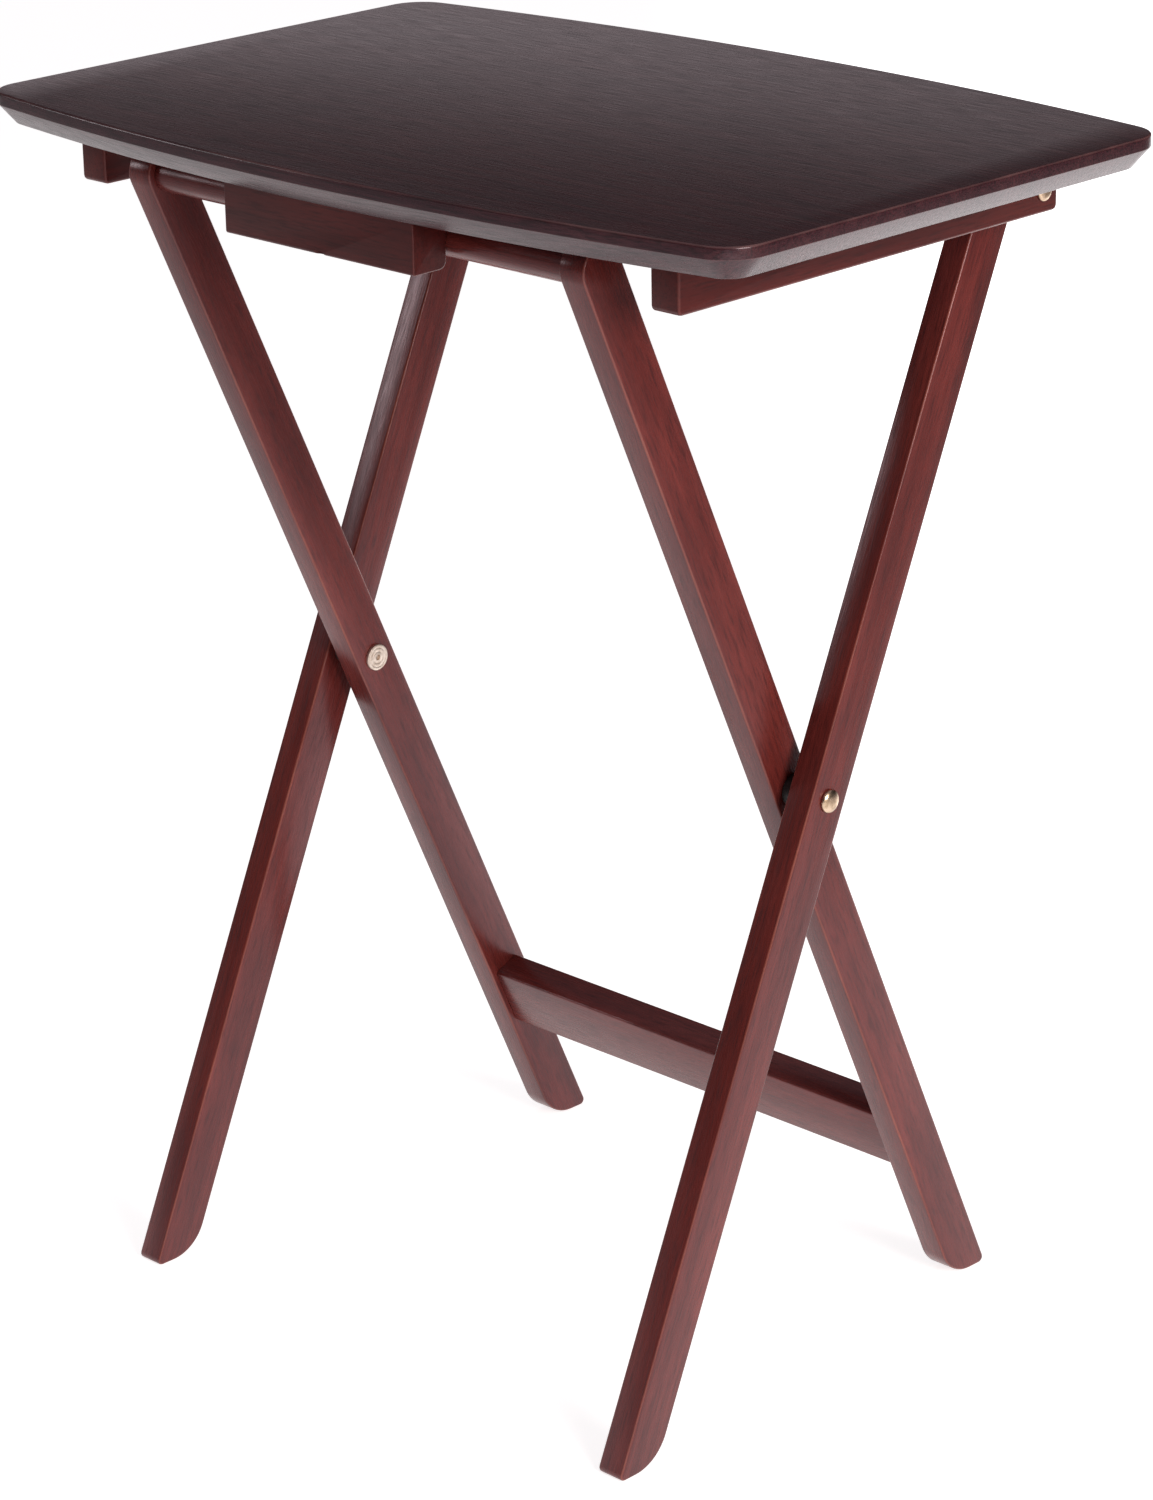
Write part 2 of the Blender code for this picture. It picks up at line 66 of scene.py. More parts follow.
# %% Stand the camera in front, to the right
CAMERA_PLACE = Vector((1.6280, -1.6324, 1.1632))
CAMERA_AZIMUTH = math.radians(44.78)
CAMERA_ELEVATION = math.radians(20.21)
CAMERA_ROLL = math.radians(-1.07)

towards_camera = Vector((
    math.sin(CAMERA_AZIMUTH) * math.cos(CAMERA_ELEVATION),
    -math.cos(CAMERA_AZIMUTH) * math.cos(CAMERA_ELEVATION),
    math.sin(CAMERA_ELEVATION),
))
level_right = (-towards_camera).cross(Vector((0, 0, 1))).normalized()
level_up = level_right.cross(-towards_camera)
right = math.cos(CAMERA_ROLL) * level_right + math.sin(CAMERA_ROLL) * level_up
up = math.cos(CAMERA_ROLL) * level_up - math.sin(CAMERA_ROLL) * level_right

camera_data = bpy.data.cameras.new("camera")
camera_data.lens = 109.2
camera_data.sensor_width = 36.0
camera_data.shift_x = -0.002
camera_data.shift_y = -0.0064
camera_data.clip_end = 60
camera = bpy.data.objects.new("camera", camera_data)
turn = Matrix((right, up, towards_camera)).transposed().to_4x4()
camera.matrix_world = Matrix.Translation(CAMERA_PLACE) @ turn
bpy.context.scene.collection.objects.link(camera)
bpy.context.scene.camera = camera
print("camera is", round((CAMERA_PLACE - Vector((0, 0, 0.33))).length, 2), "m away")

# %% [markdown]
# ## Colours and nodes
#
# Colours are picked as sRGB hex values, as on a screen, and turned to the linear light that a
# shader works in. One function adds a node with its settings and its links, so that a material
# reads as a short list of steps.

# %% Turn a hex colour to linear light
def colour(hex_value):
    """An sRGB hex value such as 6b2b22 as linear RGBA."""
    channels = [int(hex_value[i:i + 2], 16) / 255 for i in (0, 2, 4)]
    linear = [c / 12.92 if c <= 0.04045 else ((c + 0.055) / 1.055) ** 2.4 for c in channels]
    return (*linear, 1.0)


# %% Add a node with its settings and links
def add_node(tree, kind, settings=None, **inputs):
    """Adds a node. A setting is an attribute; an input is a value, or a socket to link from."""
    node = tree.nodes.new(kind)
    for name, value in (settings or {}).items():
        setattr(node, name, value)
    for name, value in inputs.items():
        key = int(name[1:]) if name[0] == "i" and name[1:].isdigit() else name.replace("_", " ")
        socket = node.inputs[key]
        if isinstance(value, bpy.types.NodeSocket):
            tree.links.new(value, socket)
        else:
            socket.default_value = value
    return node


# %% Start a material
def new_material(name):
    """A material with an empty tree, its Principled shader and its output."""
    material = bpy.data.materials.new(name)
    material.use_nodes = True
    tree = material.node_tree
    tree.nodes.clear()
    shader = add_node(tree, "ShaderNodeBsdfPrincipled")
    add_node(tree, "ShaderNodeOutputMaterial", Surface=shader.outputs["BSDF"])
    return material, tree, shader


# %% Blend colours along a factor
def ramp(tree, factor, stops):
    """A colour ramp. Each stop is (place, hex colour)."""
    node = add_node(tree, "ShaderNodeValToRGB", Fac=factor)
    marks = node.color_ramp.elements
    marks[0].position, marks[0].color = stops[0][0], colour(stops[0][1])
    marks[1].position, marks[1].color = stops[-1][0], colour(stops[-1][1])
    for place, hex_value in stops[1:-1]:
        marks.new(place).color = colour(hex_value)
    return node.outputs["Color"]


# %% [markdown]
# ## Studio
#
# Satin lacquer shows its faces mostly by what they mirror, so the room matters as much as the
# stain. The table stands on a strip of pale paper that runs away from the camera and glows by
# itself, as painted light. Faces that look down mirror the strip and go mauve; upright faces high
# on the table mirror the dimmer floor beside it and stay deep red. The sky is dim low down, where
# the top mirrors it.

# %% Make a soft step
def fade(tree, value, near, far, start, end):
    """A soft step from start to end, while the value goes from near to far."""
    return add_node(
        tree, "ShaderNodeMapRange", {"interpolation_type": "SMOOTHSTEP"},
        Value=value, From_Min=near, From_Max=far, To_Min=start, To_Max=end,
    ).outputs["Result"]


# %% Lay the floor
# The strip's two edges are given as where its fade begins and ends, in metres to the right of
# the table's middle. It spreads as it runs back. The floor glows by itself: its brightness is
# painted light, and behind to the right a painted pool of light makes it brighter still.
FLOOR_HALF = 9.0
PAPER_LIGHT = 0.80
ROOM_LIGHT = 0.20
BACK_POOL_LIGHT = 0.75
PAPER_SPREAD = 0.55
PAPER_LEFT = (-0.95, -0.38)
PAPER_RIGHT = (0.62, 1.25)


def make_floor():
    """A wide pale floor that glows as painted light, dropped a hair so the feet don't flicker on it."""
    shape = bmesh.new()
    bmesh.ops.create_grid(shape, x_segments=1, y_segments=1, size=FLOOR_HALF)
    mesh = bpy.data.meshes.new("floor")
    shape.to_mesh(mesh)
    shape.free()
    mesh.transform(Matrix.Translation((0, 0, -0.0002)))
    material, tree, shader = new_material("glowing_matt_paper_strip")
    place = add_node(tree, "ShaderNodeTexCoord").outputs["Object"]
    across = add_node(
        tree, "ShaderNodeVectorMath", {"operation": "DOT_PRODUCT"}, i0=place, i1=tuple(level_right)
    ).outputs["Value"]
    away = add_node(
        tree, "ShaderNodeVectorMath", {"operation": "DOT_PRODUCT"},
        i0=place, i1=(-math.sin(CAMERA_AZIMUTH), math.cos(CAMERA_AZIMUTH), 0),
    ).outputs["Value"]
    distance = add_node(tree, "ShaderNodeMath", {"operation": "MAXIMUM"}, i0=away, i1=0.0)
    spread = add_node(
        tree, "ShaderNodeMath", {"operation": "MULTIPLY_ADD"},
        i0=distance.outputs["Value"], i1=PAPER_SPREAD, i2=1.0,
    )
    share = add_node(
        tree, "ShaderNodeMath", {"operation": "DIVIDE"}, i0=across, i1=spread.outputs["Value"]
    ).outputs["Value"]

    # The strip's glow is painted light: full in the strip, dimmer to its left, gone to its right.
    left = fade(tree, share, *PAPER_LEFT, ROOM_LIGHT, PAPER_LIGHT)
    right_side = fade(tree, share, *PAPER_RIGHT, 1.0, 0.0)
    strip = add_node(tree, "ShaderNodeMath", {"operation": "MULTIPLY"}, i0=left, i1=right_side)
    # A painted pool of light behind to the right; no lamp stands there.
    pool_across = fade(tree, across, 0.10, 0.45, 0.0, BACK_POOL_LIGHT)
    pool_away = fade(tree, away, 0.0, 0.30, 0.0, 1.0)
    painted_pool = add_node(
        tree, "ShaderNodeMath", {"operation": "MULTIPLY"}, i0=pool_across, i1=pool_away
    )
    light = add_node(
        tree, "ShaderNodeMath", {"operation": "MULTIPLY_ADD"},
        i0=painted_pool.outputs["Value"], i1=right_side, i2=strip.outputs["Value"],
    )
    speckle = add_node(tree, "ShaderNodeTexNoise", Vector=place, Scale=90.0)
    speckle_roughness = add_node(
        tree, "ShaderNodeMapRange", Value=speckle.outputs["Fac"], To_Min=0.76, To_Max=0.86
    )
    tree.links.new(light.outputs["Value"], shader.inputs["Emission Strength"])
    tree.links.new(speckle_roughness.outputs["Result"], shader.inputs["Roughness"])
    shader.inputs["Base Color"].default_value = colour("e0e0e0")
    shader.inputs["Emission Color"].default_value = colour("ffffff")
    mesh.materials.append(material)
    made = bpy.data.objects.new("floor", mesh)
    bpy.context.scene.collection.objects.link(made)
    return made


make_floor()
print("floor is", 2 * FLOOR_HALF, "m wide")

# %% Dim the horizon, light the sky overhead
# The low glow stands a little to the left of straight behind, so the top's sheen fades rightward.
HORIZON_LIGHT = 0.03
ZENITH_LIGHT = 0.50
SWEEP_LIGHT = 0.50
SWEEP_TURN = math.radians(10)


def make_sky():
    """A neutral sky, brighter overhead and low down behind, where the paper curls up."""
    world = bpy.data.worlds.new("studio_sky")
    world.use_nodes = True
    tree = world.node_tree
    tree.nodes.clear()
    direction = add_node(tree, "ShaderNodeTexCoord")
    parts = add_node(tree, "ShaderNodeSeparateXYZ", Vector=direction.outputs["Generated"])
    height = fade(tree, parts.outputs["Z"], 0.45, 1.0, HORIZON_LIGHT, ZENITH_LIGHT)
    behind = add_node(
        tree, "ShaderNodeVectorMath", {"operation": "DOT_PRODUCT"},
        i0=direction.outputs["Generated"],
        i1=(-math.sin(CAMERA_AZIMUTH + SWEEP_TURN), math.cos(CAMERA_AZIMUTH + SWEEP_TURN), 0),
    )
    facing = fade(tree, behind.outputs["Value"], 0.88, 0.995, 0.0, 1.0)
    low = fade(tree, parts.outputs["Z"], 0.32, 0.14, 0.0, SWEEP_LIGHT)
    sweep = add_node(
        tree, "ShaderNodeMath", {"operation": "MULTIPLY_ADD"},
        i0=facing, i1=low, i2=height,
    )
    glow = add_node(
        tree, "ShaderNodeBackground", Color=colour("fdeef4"), Strength=sweep.outputs["Value"]
    )
    add_node(tree, "ShaderNodeOutputWorld", Surface=glow.outputs["Background"])
    bpy.context.scene.world = world
    return world


make_sky()
bpy.context.scene.view_settings.view_transform = "Standard"

# %% Hang the softboxes
# A large one on the right lights the right-hand faces, and a small one on the left gives the far
# outer leg its grey sheen.
TABLE_MIDDLE = Vector((0, 0, 0.36))


def softbox(name, place, size, power, tint="ffffff"):
    """A square area light that faces the table."""
    data = bpy.data.lights.new(name, "AREA")
    data.shape = "SQUARE"
    data.size = size
    data.energy = power
    data.color = colour(tint)[:3]
    made = bpy.data.objects.new(name, data)
    made.location = place
    made.rotation_euler = (Vector(place) - TABLE_MIDDLE).to_track_quat("Z", "Y").to_euler()
    bpy.context.scene.collection.objects.link(made)
    return made


softbox("key_softbox", (3.0, -0.5, 1.6), 1.5, 84, "fff6f0")
softbox("fill_softbox", (-1.40, -0.95, 1.02), 0.40, 3.0)

# %% [markdown]
# ## Stained wood
#
# The frame is a plain hardwood, sawn, sanded, stained red-brown and lacquered to a satin.
# Stain soaks unevenly, so the colour drifts along a bar, and it lies darkest in the pores,
# which are short hairs along the grain. The arrises are painted paler: partly where sanding
# wears through the stain, partly a painted highlight of the light the eased edges catch.
# An image could carry that, but noise stretched along the grain gives every bar its own
# figure. Each piece stores its own grain direction as an attribute, so a bar that leans, or
# folds, keeps its grain along its length.

# %% Make a stained and lacquered wood
RING_LENGTH = 0.16
RING_WIDTH = 0.0055
BLOTCH_LENGTH = 0.11
BLOTCH_WIDTH = 0.030


def stretched_noise(tree, grain, length, width, detail, distortion=0.0):
    """Noise whose spots are so long along the grain and so wide across it."""
    scale = (1 / length, 1 / width, 1 / width)
    mapped = add_node(tree, "ShaderNodeMapping", Vector=grain, Scale=scale)
    noise = add_node(
        tree, "ShaderNodeTexNoise", Vector=mapped.outputs["Vector"],
        Scale=1.0, Detail=detail, Roughness=0.55, Distortion=distortion,
    )
    return noise.outputs["Fac"]


def stained_wood(name, stain, pore, worn_and_highlight, look):
    """Stained wood: three tones, dark pores, arrises paler for wear and a painted highlight, satin
    lacquer.
    """
    material, tree, shader = new_material(name)
    grain = add_node(tree, "ShaderNodeAttribute", {"attribute_name": "grain"}).outputs["Vector"]
    arris = add_node(tree, "ShaderNodeAttribute", {"attribute_name": "arris"}).outputs["Fac"]
    rings = stretched_noise(tree, grain, RING_LENGTH, RING_WIDTH, 3.0, 0.6)
    blotches = stretched_noise(tree, grain, BLOTCH_LENGTH, BLOTCH_WIDTH, 2.0)
    pores = stretched_noise(tree, grain, *look["pore"], 1.0)
    drift = add_node(
        tree, "ShaderNodeMix", {"data_type": "FLOAT"}, i0=look["blotch"], i2=rings, i3=blotches
    )
    body = ramp(tree, drift.outputs[0], [(0.34, stain[0]), (0.50, stain[1]), (0.66, stain[2])])
    pore_depth = add_node(
        tree, "ShaderNodeMapRange", Value=pores, From_Min=look["pore_from"], From_Max=0.72,
        To_Min=0.0, To_Max=look["pore_show"],
    )
    porous = add_node(
        tree, "ShaderNodeMix", {"data_type": "RGBA"},
        i0=pore_depth.outputs["Result"], i6=body, i7=colour(pore),
    )
    # Paler arrises: partly worn-through stain, partly a painted highlight where the eased edges catch
    # light.
    rub_and_highlight = add_node(
        tree, "ShaderNodeMath", {"operation": "MULTIPLY"}, i0=arris, i1=blotches
    )
    rubbed_and_highlit = add_node(
        tree, "ShaderNodeMapRange", Value=rub_and_highlight.outputs["Value"],
        From_Min=0.18, From_Max=0.62, To_Min=0.0, To_Max=look["wear_and_highlight"],
    )
    tone = add_node(
        tree, "ShaderNodeMix", {"data_type": "RGBA"},
        i0=rubbed_and_highlit.outputs["Result"], i6=porous.outputs[2], i7=colour(worn_and_highlight),
    )
    tree.links.new(tone.outputs[2], shader.inputs["Base Color"])
    gloss = add_node(
        tree, "ShaderNodeMapRange", Value=pores, From_Min=0.3, From_Max=0.7,
        To_Min=look["roughness"] - 0.04, To_Max=look["roughness"] + 0.07,
    )
    tree.links.new(gloss.outputs["Result"], shader.inputs["Roughness"])
    relief = add_node(
        tree, "ShaderNodeMix", {"data_type": "FLOAT"}, i0=0.75, i2=rings, i3=pores
    )
    smooth_arris = add_node(
        tree, "ShaderNodeMapRange", Value=arris, To_Min=look["bump"], To_Max=0.03
    )
    bump = add_node(
        tree, "ShaderNodeBump", Strength=smooth_arris.outputs["Result"], Distance=0.0004,
        Height=relief.outputs[0],
    )
    tree.links.new(bump.outputs["Normal"], shader.inputs["Normal"])
    # The lacquer carries a little of the stain, so its sheen is faintly mauve.
    shader.inputs["Specular Tint"].default_value = colour(look["sheen"])
    shader.inputs["IOR"].default_value = 1.50
    shader.inputs["Coat Weight"].default_value = look["coat"]
    shader.inputs["Coat Roughness"].default_value = 0.22
    shader.inputs["Coat IOR"].default_value = 1.50
    return material


# A very dark brown stain on a fine, open-pored veneer. The pores break the reflection into
# short grey hairs, which is what makes the top read as wood and not as plastic.
top_wood = stained_wood(
    "espresso_stained_lacquered_veneer",
    ("2c1219", "391a20", "452428"), "170a0d", "80605f",
    {"blotch": 0.35, "pore_from": 0.44, "pore_show": 0.85, "wear_and_highlight": 0.45,
     "roughness": 0.27, "bump": 0.34, "coat": 0.15, "pore": (0.024, 0.0012),
     "sheen": "f4dfe9"},
)
# Red-brown stain on plain sawn hardwood. Light still reaches the wood and comes back red, so
# a lit bar glows and a shaded one goes almost black.
frame_wood = stained_wood(
    "red_brown_stained_lacquered_hardwood",
    ("4e1b18", "5f2420", "702e29"), "300f0e", "a06152",
    {"blotch": 0.55, "pore_from": 0.50, "pore_show": 0.55, "wear_and_highlight": 0.55,
     "roughness": 0.27, "bump": 0.16, "coat": 0.10, "pore": (0.013, 0.0010),
     "sheen": "f6d9e4"},
)
# The short pieces under the top are given a darker, browner copy of the frame's wood.
cleat_wood = stained_wood(
    "darker_lacquered_hardwood",
    ("3c120f", "4b1815", "59201b"), "240b0a", "85493f",
    {"blotch": 0.60, "pore_from": 0.50, "pore_show": 0.50, "wear_and_highlight": 0.40,
     "roughness": 0.36, "bump": 0.14, "coat": 0.0, "pore": (0.013, 0.0010),
     "sheen": "e6c3c9"},
)
print("woods:", top_wood.name, frame_wood.name, cleat_wood.name)

# %% [markdown]
# ## Bare beech, plated metal and nylon
#
# The dowel pins are beech straight from the lathe. The bolts and their capped nuts are steel
# with a thin brass plating that has been barrel polished. The screws are zinc plated, and the
# spacers are nylon, moulded black.

# %% Make the bare beech of the dowel pins
def bare_beech():
    """Unstained beech: pale, dry, with short brown flecks of the rays."""
    material, tree, shader = new_material("turned_bare_beech")
    place = add_node(tree, "ShaderNodeTexCoord").outputs["Object"]
    flecks = stretched_noise(tree, place, 0.004, 0.0006, 2.0)
    tone = ramp(tree, flecks, [(0.35, "c9a273"), (0.55, "d8b588"), (0.70, "b98d5e")])
    tree.links.new(tone, shader.inputs["Base Color"])
    bump = add_node(tree, "ShaderNodeBump", Strength=0.2, Distance=0.0002, Height=flecks)
    tree.links.new(bump.outputs["Normal"], shader.inputs["Normal"])
    shader.inputs["Roughness"].default_value = 0.62
    return material


beech = bare_beech()

# %% Make a plated and polished metal
def plated_metal(name, bright, dull, roughness, grit):
    """Plating over steel: a clear metal colour that dulls in spots, with fine polishing marks."""
    material, tree, shader = new_material(name)
    place = add_node(tree, "ShaderNodeTexCoord").outputs["Object"]
    spots = add_node(tree, "ShaderNodeTexNoise", Vector=place, Scale=1 / 0.003, Detail=3.0)
    marks = add_node(tree, "ShaderNodeTexNoise", Vector=place, Scale=1 / grit, Detail=2.0)
    tone = ramp(tree, spots.outputs["Fac"], [(0.35, dull), (0.60, bright)])
    tree.links.new(tone, shader.inputs["Base Color"])
    gloss = add_node(
        tree, "ShaderNodeMapRange", Value=spots.outputs["Fac"], From_Min=0.3, From_Max=0.7,
        To_Min=roughness + 0.06, To_Max=roughness - 0.04,
    )
    tree.links.new(gloss.outputs["Result"], shader.inputs["Roughness"])
    bump = add_node(
        tree, "ShaderNodeBump", Strength=0.12, Distance=0.00005, Height=marks.outputs["Fac"]
    )
    tree.links.new(bump.outputs["Normal"], shader.inputs["Normal"])
    shader.inputs["Metallic"].default_value = 1.0
    return material


# Pale brass plating: warm in its bright parts, olive where it mirrors the dark wood.
brass = plated_metal("barrel_polished_brass_plating", "e0c6ac", "b29a80", 0.28, 0.0004)
# The faced ends of the nuts are turned, so they scatter light and look almost cream.
faced_brass = plated_metal("lathe_faced_brass_plating", "e4d6ca", "cdbcae", 0.45, 0.0003)
# Bright zinc: cool, slightly cloudy.
zinc = plated_metal("bright_zinc_plating", "c3c6c9", "9da1a5", 0.34, 0.0005)

# %% Make the nylon of the spacers
def moulded_nylon():
    """Black nylon from a fine-sparked mould: even, soft, faintly pebbled."""
    material, tree, shader = new_material("moulded_black_nylon")
    place = add_node(tree, "ShaderNodeTexCoord").outputs["Object"]
    pebble = add_node(tree, "ShaderNodeTexNoise", Vector=place, Scale=1 / 0.0005, Detail=1.0)
    tone = ramp(tree, pebble.outputs["Fac"], [(0.35, "131313"), (0.65, "1d1c1c")])
    tree.links.new(tone, shader.inputs["Base Color"])
    bump = add_node(
        tree, "ShaderNodeBump", Strength=0.3, Distance=0.0001, Height=pebble.outputs["Fac"]
    )
    tree.links.new(bump.outputs["Normal"], shader.inputs["Normal"])
    shader.inputs["Roughness"].default_value = 0.52
    shader.inputs["IOR"].default_value = 1.53
    return material


nylon = moulded_nylon()

# %% [markdown]
# ## Sawn pieces
#
# Every wooden piece but the round rail is a flat outline with some thickness and eased edges.
# Extrude and Bevel would do, but a stack of inset rings gives the same shape with full control
# of each edge: one list of (inset, height, wear and highlight) describes an eased arris, an
# undercut or both. The last number says how much paler the arris is painted, for worn stain and
# for a painted highlight.

# %% Inset a closed outline
def inset_outline(points, distance):
    """The outline moved inwards. Points run anticlockwise."""
    count = len(points)
    moved = []
    for index, here in enumerate(points):
        before = (here - points[index - 1]).normalized()
        after = (points[(index + 1) % count] - here).normalized()
        inward = Vector((-before.y - after.y, before.x + after.x)).normalized()
        lean = max(0.3, inward.dot(Vector((-before.y, before.x))))
        moved.append(here + inward * distance / lean)
    return moved


# %% Round the corners of an outline
def round_corners(corners):
    """Points round a closed outline. Each corner is (a, b, radius), sharp where that is zero."""
    points = []
    for index, (a, b, radius) in enumerate(corners):
        here = Vector((a, b))
        if radius == 0:
            points.append(here)
            continue
        before = (Vector(corners[index - 1][:2]) - here).normalized()
        after = (Vector(corners[(index + 1) % len(corners)][:2]) - here).normalized()
        half = before.angle(after) / 2
        centre = here + (before + after).normalized() * (radius / math.sin(half))
        start = here + before * (radius / math.tan(half)) - centre
        sweep = start.angle_signed(here + after * (radius / math.tan(half)) - centre)
        steps = max(3, round(abs(sweep) * radius / 0.0016))
        for step in range(steps + 1):
            points.append(centre + Matrix.Rotation(-sweep * step / steps, 2) @ start)
    return points


# %% Ease an edge
def eased_edge(radius, inset, height, start, end, steps=4):
    """Rings round an arris between two face directions, in degrees: 90 is up, 0 outwards."""
    rings = []
    for step in range(steps + 1):
        share = step / steps
        turn = math.radians(start + (end - start) * share)
        # How much paler the arris is painted: worn stain and a painted highlight, strongest mid-arris.
        wear_and_highlight = math.sin(math.pi * share)
        rings.append((inset - radius * math.cos(turn), height + radius * math.sin(turn), wear_and_highlight))
    return rings


def flat_bar_rings(thickness, edge):
    """The rings of a plain slab: two faces with eased edges between them."""
    half = thickness / 2
    upper = eased_edge(edge, edge, half - edge, 90, 0)
    lower = eased_edge(edge, edge, edge - half, 0, -90)
    return upper + lower


# %% Stack the rings into a closed piece
def ring_stack(name, outline, rings):
    """A closed mesh from an outline in XY and rings from the top down, storing wear and highlight."""
    shape = bmesh.new()
    wear_and_highlight_layer = shape.verts.layers.float.new("arris")
    stack = []
    for inset, height, wear_and_highlight in rings:
        row = []
        for point in inset_outline(outline, inset):
            corner = shape.verts.new((point.x, point.y, height))
            corner[wear_and_highlight_layer] = wear_and_highlight
            row.append(corner)
        stack.append(row)
    count = len(outline)
    for upper, lower in zip(stack, stack[1:]):
        for index in range(count):
            following = (index + 1) % count
            shape.faces.new((upper[index], lower[index], lower[following], upper[following]))
    shape.faces.new(stack[0])
    shape.faces.new(list(reversed(stack[-1])))
    bmesh.ops.remove_doubles(shape, verts=shape.verts, dist=0.00001)
    bmesh.ops.recalc_face_normals(shape, faces=shape.faces)
    mesh = bpy.data.meshes.new(name)
    shape.to_mesh(mesh)
    shape.free()
    return mesh


# %% Cut round holes in a mesh
def cut_holes(mesh, holes):
    """Takes upright round holes out of a mesh. Each is (centre, radius, depth, sides)."""
    body = bpy.data.objects.new("blank", mesh)
    bpy.context.scene.collection.objects.link(body)
    cutters = []
    for centre, radius, depth, sides in holes:
        shape = bmesh.new()
        bmesh.ops.create_cone(
            shape, cap_ends=True, segments=sides, radius1=radius, radius2=radius, depth=depth
        )
        drill = bpy.data.meshes.new("drill")
        shape.to_mesh(drill)
        shape.free()
        cutter = bpy.data.objects.new("drill", drill)
        cutter.location = centre
        bpy.context.scene.collection.objects.link(cutter)
        boolean = body.modifiers.new("drill", "BOOLEAN")
        boolean.object = cutter
        boolean.solver = "EXACT"
        cutters.append(cutter)
    bpy.context.view_layer.update()
    cut = bpy.data.meshes.new_from_object(body.evaluated_get(bpy.context.evaluated_depsgraph_get()))
    for leftover in [body, *cutters]:
        bpy.data.objects.remove(leftover, do_unlink=True)
    return cut


# %% Give a piece its grain, its place and its finish
def store_grain(mesh, along, seed):
    """Stores each point's place in the piece, with the grain first, moved on by the seed."""
    points = np.zeros(len(mesh.vertices) * 3, np.float32)
    mesh.vertices.foreach_get("co", points)
    points = points.reshape(-1, 3)
    order = {"X": (0, 1, 2), "Y": (1, 0, 2), "Z": (2, 0, 1)}[along]
    grain = points[:, order] + np.array((seed * 1.7, seed * 0.37, seed * 0.53), np.float32)
    layer = mesh.attributes.new("grain", "FLOAT_VECTOR", "POINT")
    layer.data.foreach_set("vector", grain.astype(np.float32).ravel())


def finish_piece(name, mesh, place, material, body, nodes, smooth=34):
    """Puts a mesh in its place, and makes it the piece that stands for its CAD nodes."""
    mesh.transform(place)
    mesh.name = name
    mesh.materials.clear()
    mesh.materials.append(material)
    mesh.shade_smooth()
    mesh.set_sharp_from_angle(angle=math.radians(smooth))
    piece = bpy.data.objects.new(name, mesh)
    bpy.context.scene.collection.objects.link(piece)
    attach(piece, body)
    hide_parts(*nodes)
    return piece


# %% Turn a side outline upright
# An outline in (front to back, height) becomes a piece whose thickness runs along X.
SIDE_VIEW = Matrix(((0, 0, 1, 0), (1, 0, 0, 0), (0, 1, 0, 0), (0, 0, 0, 1)))

# %% [markdown]
# ## The top
#
# The top is one board, bowed along its long sides. Its rim is a short upright band with an
# eased upper arris, and below it the edge is undercut, so the board looks thin. Its outline
# follows a rule: two arcs, two straight ends and four corners that run into both.

# %% Draw the bowed outline
END_DEPTH = 0.316
CORNER_RADIUS = 0.022
top_low, top_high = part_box("table_top")
top_width = top_high.x - top_low.x
top_depth = top_high.y - top_low.y
top_thickness = top_high.z - top_low.z


def bowed_outline():
    """The outline of the top, anticlockwise."""
    half = top_width / 2
    rise = (top_depth - END_DEPTH) / 2
    sweep = (half**2 + rise**2) / (2 * rise)
    hub = top_depth / 2 - sweep
    side_x = half - CORNER_RADIUS
    corner_y = hub + math.sqrt((sweep - CORNER_RADIUS) ** 2 - side_x**2)
    limit = math.asin(side_x / (sweep - CORNER_RADIUS))
    quarter = []
    for step in range(33):
        turn = limit * step / 32
        quarter.append(Vector((sweep * math.sin(turn), hub + sweep * math.cos(turn))))
    corner_sweep = math.radians(90) - limit
    for step in range(1, 17):
        turn = corner_sweep * (1 - step / 16)
        corner = Vector((math.cos(turn), math.sin(turn)))
        quarter.append(Vector((side_x, corner_y)) + CORNER_RADIUS * corner)
    right_side = quarter + [Vector((p.x, -p.y)) for p in reversed(quarter)]
    left_side = [Vector((-p.x, p.y)) for p in reversed(right_side)]
    clockwise = right_side + left_side[1:-1]
    return clockwise[::-1]


# %% Shape the rim of the top
BAND = 0.0062
UNDERCUT = 0.0094
TOP_ARRIS = 0.0013
BAND_ARRIS = 0.0007
LOW_ARRIS = 0.0010


def make_top():
    """The board, with its band and undercut."""
    fall = top_thickness - BAND
    slope = math.degrees(math.atan2(UNDERCUT, fall))
    middle = (top_low.z + top_high.z) / 2
    high = top_thickness / 2
    rings = eased_edge(TOP_ARRIS, TOP_ARRIS, high - TOP_ARRIS, 90, 0, 5)
    rings += eased_edge(BAND_ARRIS, BAND_ARRIS, high - BAND, 0, -slope, 3)
    rings += eased_edge(LOW_ARRIS, UNDERCUT + LOW_ARRIS * 0.55, LOW_ARRIS - high, -slope, -90, 4)
    # Below the board's middle the paler arris, worn stain and painted highlight, is halved.
    rings = [(inset, height, wear_and_highlight if height > 0 else wear_and_highlight * 0.5) for inset, height, wear_and_highlight in rings]
    mesh = ring_stack("table_top_board", bowed_outline(), rings)
    store_grain(mesh, "X", 1)
    place = Matrix.Translation((0, 0, middle))
    return finish_piece(
        "table_top_board", mesh, place, top_wood, "top", ["table_top"]
    )


top_board = make_top()
print("top:", [round(v * 1000, 1) for v in top_board.dimensions], "mm")

# %% [markdown]
# ## Cleats and latch block
#
# A cleat is screwed under each end of the top and carries the pivot bolt. The latch block
# sits in front of the round rail and keeps the legs from running apart. Both are sawn bars,
# drilled from below for their screws, so the drilled holes are cut before the finish goes on.

# %% Read where the screws are
screw_nodes = sorted(name for name in frame["nodes"] if "screw" in name)
SCREW_HOLE = 0.0041


